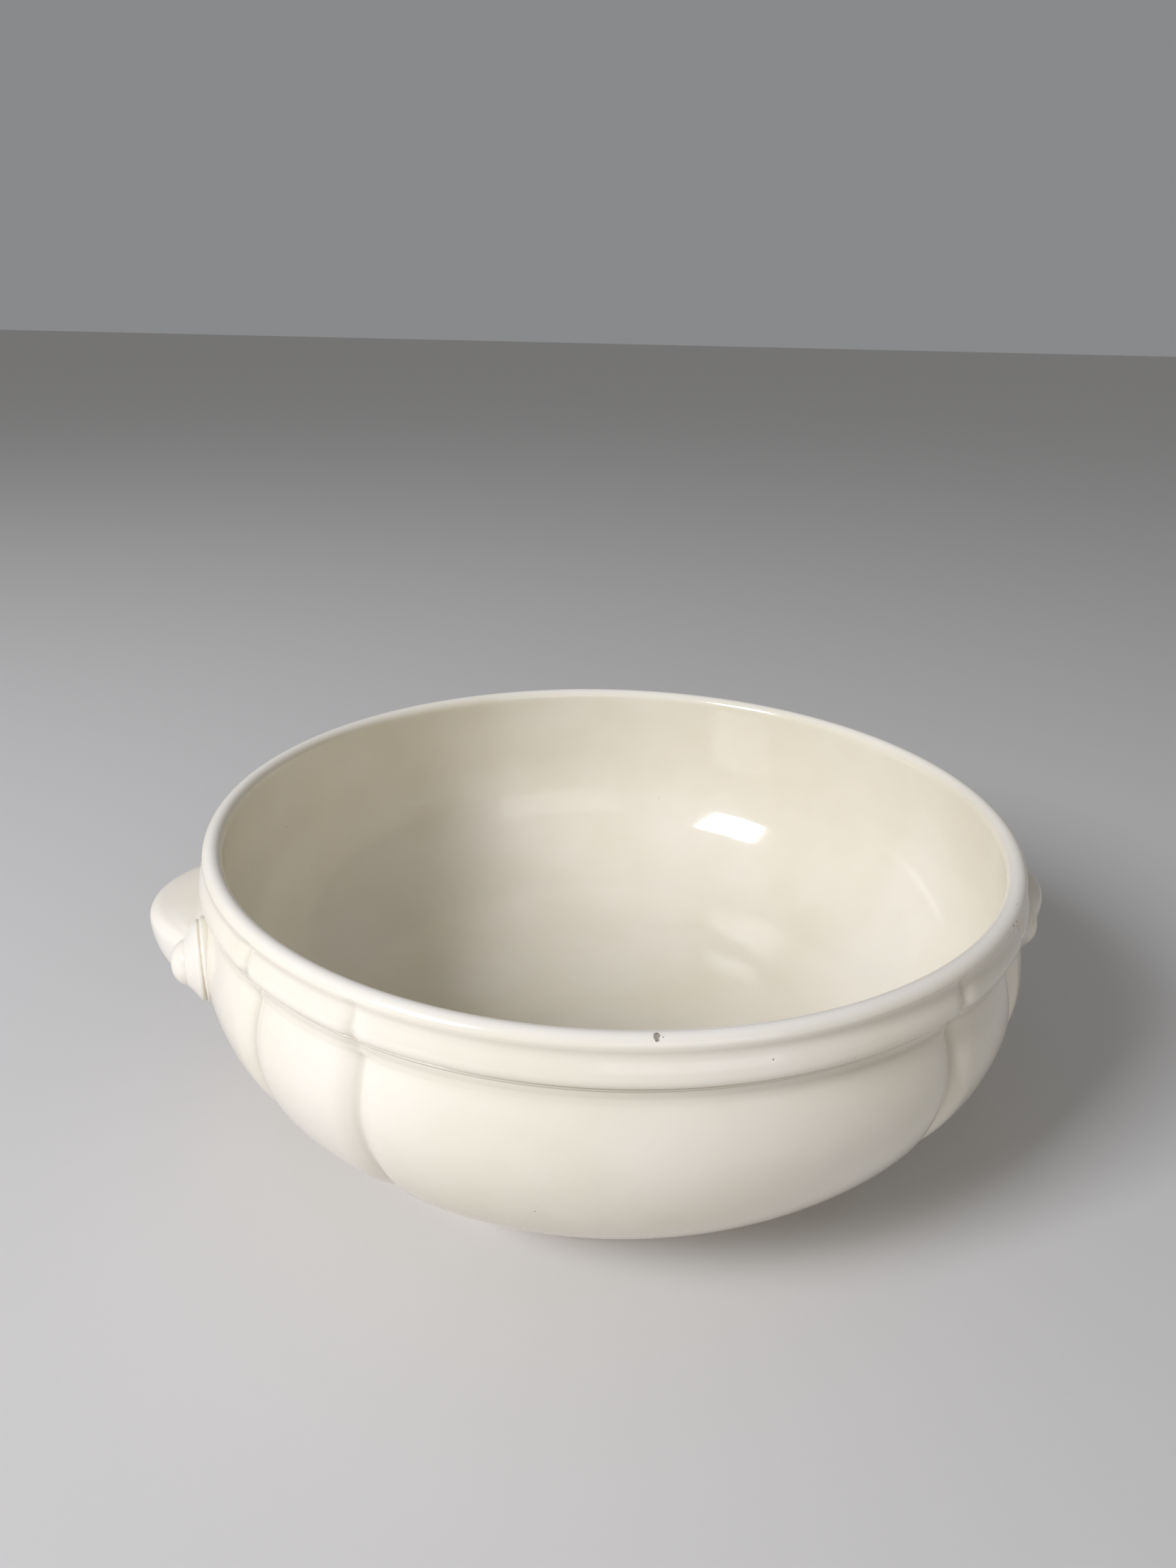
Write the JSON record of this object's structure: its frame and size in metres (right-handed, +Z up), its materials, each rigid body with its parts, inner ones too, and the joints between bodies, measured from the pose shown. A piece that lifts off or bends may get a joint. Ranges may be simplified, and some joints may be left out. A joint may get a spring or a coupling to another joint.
{
  "type": "porcelain serving bowl",
  "caption": "Round cream porcelain serving bowl with a lobed body, rolled lip, moulded rim band, low foot ring and lug grips set between stepped knobs",
  "frame": {"origin": "centre of the resting face, on the table the bowl stands on", "axes": "+Z up along the bowl's axis, +X through the middle of the right grip, -Y towards the front"},
  "size_m": [0.32, 0.2804, 0.103],
  "materials": {
    "cream_glaze": "glossy",
    "grip_glaze": "glossy",
    "foot_porcelain": "matte"
  },
  "bodies": {
    "root": {"bowl_body": "cream_glaze", "foot_ring": "foot_porcelain", "left_grip": "grip_glaze", "right_grip": "grip_glaze", "left_front_knob": "grip_glaze", "left_back_knob": "grip_glaze", "right_front_knob": "grip_glaze", "right_back_knob": "grip_glaze"}
  },
  "joints": []
}
